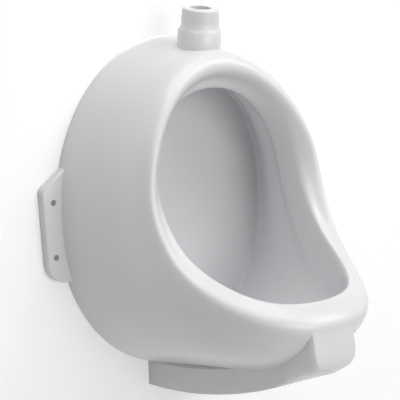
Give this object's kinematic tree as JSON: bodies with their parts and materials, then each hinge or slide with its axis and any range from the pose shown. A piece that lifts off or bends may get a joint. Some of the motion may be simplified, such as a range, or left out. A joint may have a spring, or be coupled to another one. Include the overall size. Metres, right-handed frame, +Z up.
{
  "type": "wall hung urinal",
  "caption": "Flat-back wall hung urinal in white glazed china with a projecting lip, flushing rim, top inlet horn, fixing ears and a lift-out strainer.",
  "frame": {"origin": "on the wall face, midway between the four fixing holes", "axes": "+Z up along the inlet horn, the bowl stands out towards -Y, X along the wall"},
  "size_m": [0.3496, 0.2791, 0.4297],
  "materials": {
    "glazed_china": "white gloss glaze",
    "chromed_brass": "chrome plated",
    "polished_steel": "polished stainless steel",
    "black_rubber": "matt rubber",
    "white_plastic": "plain moulded",
    "plain_brass": "machined"
  },
  "bodies": {
    "urinal": {"china_body": "glazed_china", "waste_body": "chromed_brass", "flange_washer": "black_rubber", "under_washer": "black_rubber", "slip_washer": "white_plastic", "back_nut": "plain_brass"},
    "strainer": {"dome_strainer": "polished_steel"}
  },
  "joints": [
    {"name": "strainer_lift", "type": "slide", "parent": "urinal", "child": "strainer", "axis": [0, 0, 1], "range_m": [0, 0.06]}
  ]
}
